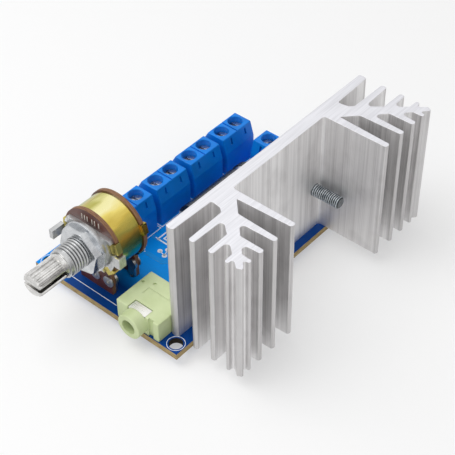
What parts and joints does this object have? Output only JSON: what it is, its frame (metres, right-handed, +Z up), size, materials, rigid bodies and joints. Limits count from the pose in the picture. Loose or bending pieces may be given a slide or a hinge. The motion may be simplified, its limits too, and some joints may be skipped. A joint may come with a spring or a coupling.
{
  "type": "audio amplifier board",
  "caption": "Blue audio amplifier board with screw terminals along one side, a volume control, a pale green input jack and a tree-finned aluminium heatsink.",
  "frame": {"origin": "midway between the two front mounting holes, on the board's underside", "axes": "+Z up out of the board's component side, +X towards the heatsink, -Y the way the volume shaft and the jack face, +Y towards the supply terminals"},
  "size_m": [0.0573, 0.0823, 0.0351],
  "materials": {
    "black_moulding": "moulded resin, fine grain",
    "black_sleeve": "shrunk sleeve",
    "blue_plastic": "satin blue moulding",
    "brown_laminate": "phenolic paper board, tan sawn edge",
    "bung_rubber": "moulded rubber",
    "can_aluminium": "drawn aluminium can",
    "chip_ceramic": "fired ceramic",
    "die_cast": "die-cast zinc, satin",
    "extruded_aluminium": "bare extrusion with fine lines along its height, sawn ends",
    "green_plastic": "pale green moulding",
    "plated_steel": "zinc plated steel",
    "silvered_contact": "silver plated spring",
    "solder": "bright tin solder",
    "solder_mask": "glossy blue solder mask over laminate, white print",
    "spring_brass": "thin spring brass",
    "tinned_metal": "tin plated copper",
    "turned_aluminium": "turned, bright",
    "yellow_plating": "yellow chromate plating with rainbow tint"
  },
  "bodies": {
    "board": {"chip_part_bodies": "chip_ceramic", "chip_part_caps": "tinned_metal", "circuit_board": "solder_mask", "clamp_screws": "plated_steel", "heatsink": "extruded_aluminium", "jack_housing": "green_plastic", "jack_ring_spring": "silvered_contact", "jack_sleeve_contact": "silvered_contact", "jack_tip_spring": "silvered_contact", "plain_washers": "plated_steel", "power_chip": "black_moulding", "power_chip_leads": "tinned_metal", "power_chip_tab": "tinned_metal", "solder_joints": "solder", "speaker_block_1": "blue_plastic", "speaker_block_2": "blue_plastic", "speaker_block_3": "blue_plastic", "speaker_block_4": "blue_plastic", "speaker_contacts_1": "tinned_metal", "speaker_contacts_2": "tinned_metal", "speaker_contacts_3": "tinned_metal", "speaker_contacts_4": "tinned_metal", "spring_washers": "plated_steel", "supply_block": "blue_plastic", "supply_capacitor_bung": "bung_rubber", "supply_capacitor_can": "can_aluminium", "supply_capacitor_leads": "tinned_metal", "supply_capacitor_sleeve": "black_sleeve", "supply_contacts": "tinned_metal", "volume_barrel": "yellow_plating", "volume_front_terminals": "tinned_metal", "volume_front_wafer": "brown_laminate", "volume_nut": "plated_steel", "volume_plate": "die_cast", "volume_rear_terminals": "tinned_metal", "volume_rear_wafer": "brown_laminate", "volume_washer": "plated_steel"},
    "volume_shaft": {"volume_shaft": "turned_aluminium", "volume_rotor": "black_moulding", "volume_wipers": "spring_brass"},
    "speaker_screw_1a": {"speaker_screw_1a": "plated_steel"},
    "speaker_cage_1a": {"speaker_cage_1a": "plated_steel"},
    "speaker_screw_1b": {"speaker_screw_1b": "plated_steel"},
    "speaker_cage_1b": {"speaker_cage_1b": "plated_steel"},
    "speaker_screw_2a": {"speaker_screw_2a": "plated_steel"},
    "speaker_cage_2a": {"speaker_cage_2a": "plated_steel"},
    "speaker_screw_2b": {"speaker_screw_2b": "plated_steel"},
    "speaker_cage_2b": {"speaker_cage_2b": "plated_steel"},
    "speaker_screw_3a": {"speaker_screw_3a": "plated_steel"},
    "speaker_cage_3a": {"speaker_cage_3a": "plated_steel"},
    "speaker_screw_3b": {"speaker_screw_3b": "plated_steel"},
    "speaker_cage_3b": {"speaker_cage_3b": "plated_steel"},
    "speaker_screw_4a": {"speaker_screw_4a": "plated_steel"},
    "speaker_cage_4a": {"speaker_cage_4a": "plated_steel"},
    "speaker_screw_4b": {"speaker_screw_4b": "plated_steel"},
    "speaker_cage_4b": {"speaker_cage_4b": "plated_steel"},
    "supply_screw_a": {"supply_screw_a": "plated_steel"},
    "supply_cage_a": {"supply_cage_a": "plated_steel"},
    "supply_screw_b": {"supply_screw_b": "plated_steel"},
    "supply_cage_b": {"supply_cage_b": "plated_steel"}
  },
  "joints": [
    {"name": "speaker_screw_1a_turn", "type": "hinge", "parent": "board", "child": "speaker_screw_1a", "pos_m": [-0.0118, 0.01606, 0.009], "axis": [0, 0, 1], "range_deg": [-1360, 0]},
    {"name": "speaker_cage_1a_slide", "type": "slide", "parent": "board", "child": "speaker_cage_1a", "axis": [0, 0, 1], "range_m": [0, 0.0017]},
    {"name": "speaker_screw_1b_turn", "type": "hinge", "parent": "board", "child": "speaker_screw_1b", "pos_m": [-0.0118, 0.02114, 0.009], "axis": [0, 0, 1], "range_deg": [-1360, 0]},
    {"name": "speaker_cage_1b_slide", "type": "slide", "parent": "board", "child": "speaker_cage_1b", "axis": [0, 0, 1], "range_m": [0, 0.0017]},
    {"name": "speaker_screw_2a_turn", "type": "hinge", "parent": "board", "child": "speaker_screw_2a", "pos_m": [-0.0118, 0.02771, 0.009], "axis": [0, 0, 1], "range_deg": [-1360, 0]},
    {"name": "speaker_cage_2a_slide", "type": "slide", "parent": "board", "child": "speaker_cage_2a", "axis": [0, 0, 1], "range_m": [0, 0.0017]},
    {"name": "speaker_screw_2b_turn", "type": "hinge", "parent": "board", "child": "speaker_screw_2b", "pos_m": [-0.0118, 0.03279, 0.009], "axis": [0, 0, 1], "range_deg": [-1360, 0]},
    {"name": "speaker_cage_2b_slide", "type": "slide", "parent": "board", "child": "speaker_cage_2b", "axis": [0, 0, 1], "range_m": [0, 0.0017]},
    {"name": "speaker_screw_3a_turn", "type": "hinge", "parent": "board", "child": "speaker_screw_3a", "pos_m": [-0.0118, 0.03936, 0.009], "axis": [0, 0, 1], "range_deg": [-1360, 0]},
    {"name": "speaker_cage_3a_slide", "type": "slide", "parent": "board", "child": "speaker_cage_3a", "axis": [0, 0, 1], "range_m": [0, 0.0017]},
    {"name": "speaker_screw_3b_turn", "type": "hinge", "parent": "board", "child": "speaker_screw_3b", "pos_m": [-0.0118, 0.04444, 0.009], "axis": [0, 0, 1], "range_deg": [-1360, 0]},
    {"name": "speaker_cage_3b_slide", "type": "slide", "parent": "board", "child": "speaker_cage_3b", "axis": [0, 0, 1], "range_m": [0, 0.0017]},
    {"name": "speaker_screw_4a_turn", "type": "hinge", "parent": "board", "child": "speaker_screw_4a", "pos_m": [-0.0118, 0.05101, 0.009], "axis": [0, 0, 1], "range_deg": [-1360, 0]},
    {"name": "speaker_cage_4a_slide", "type": "slide", "parent": "board", "child": "speaker_cage_4a", "axis": [0, 0, 1], "range_m": [0, 0.0017]},
    {"name": "speaker_screw_4b_turn", "type": "hinge", "parent": "board", "child": "speaker_screw_4b", "pos_m": [-0.0118, 0.05609, 0.009], "axis": [0, 0, 1], "range_deg": [-1360, 0]},
    {"name": "speaker_cage_4b_slide", "type": "slide", "parent": "board", "child": "speaker_cage_4b", "axis": [0, 0, 1], "range_m": [0, 0.0017]},
    {"name": "supply_screw_a_turn", "type": "hinge", "parent": "board", "child": "supply_screw_a", "pos_m": [-0.00126, 0.0562, 0.009], "axis": [0, 0, 1], "range_deg": [-1360, 0]},
    {"name": "supply_cage_a_slide", "type": "slide", "parent": "board", "child": "supply_cage_a", "axis": [0, 0, 1], "range_m": [0, 0.0017]},
    {"name": "supply_screw_b_turn", "type": "hinge", "parent": "board", "child": "supply_screw_b", "pos_m": [0.00382, 0.0562, 0.009], "axis": [0, 0, 1], "range_deg": [-1360, 0]},
    {"name": "supply_cage_b_slide", "type": "slide", "parent": "board", "child": "supply_cage_b", "axis": [0, 0, 1], "range_m": [0, 0.0017]},
    {"name": "volume_turn", "type": "hinge", "parent": "board", "child": "volume_shaft", "pos_m": [-0.0058, -0.0073, 0.015], "axis": [0, 1, 0], "range_deg": [-150, 150]}
  ],
  "couplings": [
    {"joint": "speaker_screw_1a_turn", "follows": "speaker_cage_1a_slide", "rad_per_m": -13963},
    {"joint": "speaker_screw_1b_turn", "follows": "speaker_cage_1b_slide", "rad_per_m": -13963},
    {"joint": "speaker_screw_2a_turn", "follows": "speaker_cage_2a_slide", "rad_per_m": -13963},
    {"joint": "speaker_screw_2b_turn", "follows": "speaker_cage_2b_slide", "rad_per_m": -13963},
    {"joint": "speaker_screw_3a_turn", "follows": "speaker_cage_3a_slide", "rad_per_m": -13963},
    {"joint": "speaker_screw_3b_turn", "follows": "speaker_cage_3b_slide", "rad_per_m": -13963},
    {"joint": "speaker_screw_4a_turn", "follows": "speaker_cage_4a_slide", "rad_per_m": -13963},
    {"joint": "speaker_screw_4b_turn", "follows": "speaker_cage_4b_slide", "rad_per_m": -13963},
    {"joint": "supply_screw_a_turn", "follows": "supply_cage_a_slide", "rad_per_m": -13963},
    {"joint": "supply_screw_b_turn", "follows": "supply_cage_b_slide", "rad_per_m": -13963}
  ]
}
